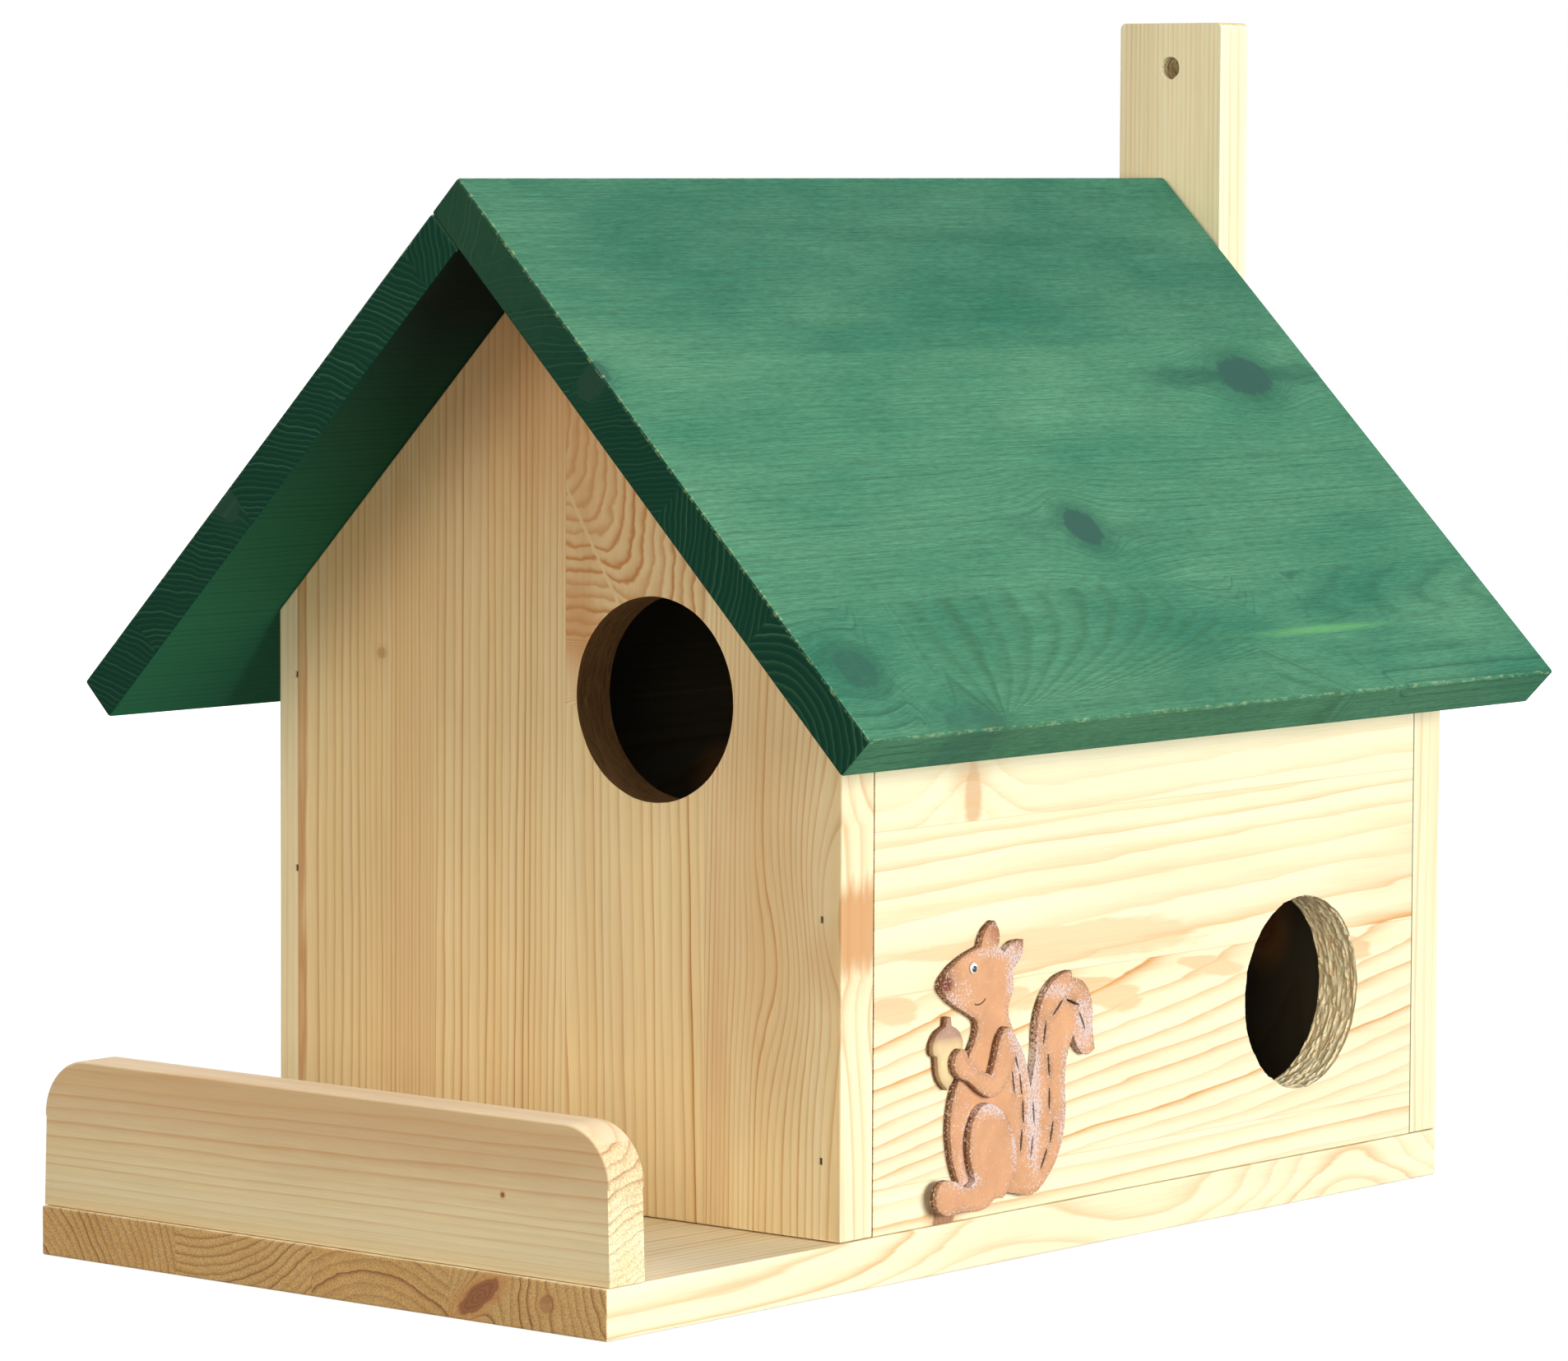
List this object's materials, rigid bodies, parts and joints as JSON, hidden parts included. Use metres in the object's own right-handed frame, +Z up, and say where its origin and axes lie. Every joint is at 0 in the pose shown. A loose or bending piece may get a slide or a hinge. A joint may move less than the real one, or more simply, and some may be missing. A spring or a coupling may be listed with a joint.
{
  "type": "squirrel house",
  "caption": "Pitched-roof pine house for squirrels with a round entrance in the front and one in the side, a railed porch, a hinged green roof board and a hanging batten.",
  "frame": {"origin": "under the middle of the whole object, on the plane that the floor board stands on", "axes": "+Z up, -Y towards the porch, +X to the right seen from the porch"},
  "size_m": [0.379, 0.5124, 0.4525],
  "materials": {
    "pine": "bare edge-glued pine, planed and sanded, with growth rings and glue joints showing",
    "green_stained_pine": "edge-glued pine under a translucent green stain, worn pale along the edges",
    "ornament_board": "thin fibreboard stained rust brown, its cut edges burnt dark and dusted pale grey",
    "acorn_board": "thin fibreboard stained in two browns",
    "eye_enamel": "white enamel dot with a dark pupil",
    "brad_steel": "bright steel wire, flattened",
    "hinge_zinc": "bright zinc plate on pressed steel"
  },
  "bodies": {
    "house": {"floor_board": "pine", "porch_rail": "pine", "front_wall": "pine", "back_wall": "pine", "left_wall": "pine", "right_wall": "pine", "left_roof_board": "green_stained_pine", "hanging_batten": "pine", "squirrel_plate": "ornament_board", "squirrel_leg": "ornament_board", "squirrel_arm": "ornament_board", "squirrel_acorn": "acorn_board", "squirrel_eye": "eye_enamel", "front_left_brad_1": "brad_steel", "front_left_brad_2": "brad_steel", "front_left_brad_3": "brad_steel", "front_right_brad_1": "brad_steel", "front_right_brad_2": "brad_steel", "front_right_brad_3": "brad_steel", "back_left_brad_1": "brad_steel", "back_left_brad_2": "brad_steel", "back_left_brad_3": "brad_steel", "back_right_brad_1": "brad_steel", "back_right_brad_2": "brad_steel", "back_right_brad_3": "brad_steel", "floor_left_brad_1": "brad_steel", "floor_left_brad_2": "brad_steel", "floor_right_brad_1": "brad_steel", "floor_right_brad_2": "brad_steel", "floor_front_brad_1": "brad_steel", "floor_front_brad_2": "brad_steel", "floor_back_brad_1": "brad_steel", "floor_back_brad_2": "brad_steel", "roof_front_brad_1": "brad_steel", "roof_front_brad_2": "brad_steel", "roof_front_brad_3": "brad_steel", "roof_back_brad_1": "brad_steel", "roof_back_brad_2": "brad_steel", "roof_back_brad_3": "brad_steel", "rail_brad_1": "brad_steel", "rail_brad_2": "brad_steel", "rail_brad_3": "brad_steel", "batten_screw_1": "hinge_zinc", "batten_screw_2": "hinge_zinc", "batten_screw_3": "hinge_zinc", "front_hinge_fixed_leaf": "hinge_zinc", "front_hinge_pin": "hinge_zinc", "front_hinge_fixed_screw_1": "hinge_zinc", "front_hinge_fixed_screw_2": "hinge_zinc", "back_hinge_fixed_leaf": "hinge_zinc", "back_hinge_pin": "hinge_zinc", "back_hinge_fixed_screw_1": "hinge_zinc", "back_hinge_fixed_screw_2": "hinge_zinc"},
    "lid": {"right_roof_board": "green_stained_pine", "front_hinge_lid_leaf": "hinge_zinc", "front_hinge_lid_screw_1": "hinge_zinc", "front_hinge_lid_screw_2": "hinge_zinc", "back_hinge_lid_leaf": "hinge_zinc", "back_hinge_lid_screw_1": "hinge_zinc", "back_hinge_lid_screw_2": "hinge_zinc"}
  },
  "joints": [
    {"name": "lid_hinge", "type": "hinge", "parent": "house", "child": "lid", "pos_m": [-0.01485, 0, 0.38035], "axis": [0, -1, 0], "range_deg": [0, 180]}
  ]
}
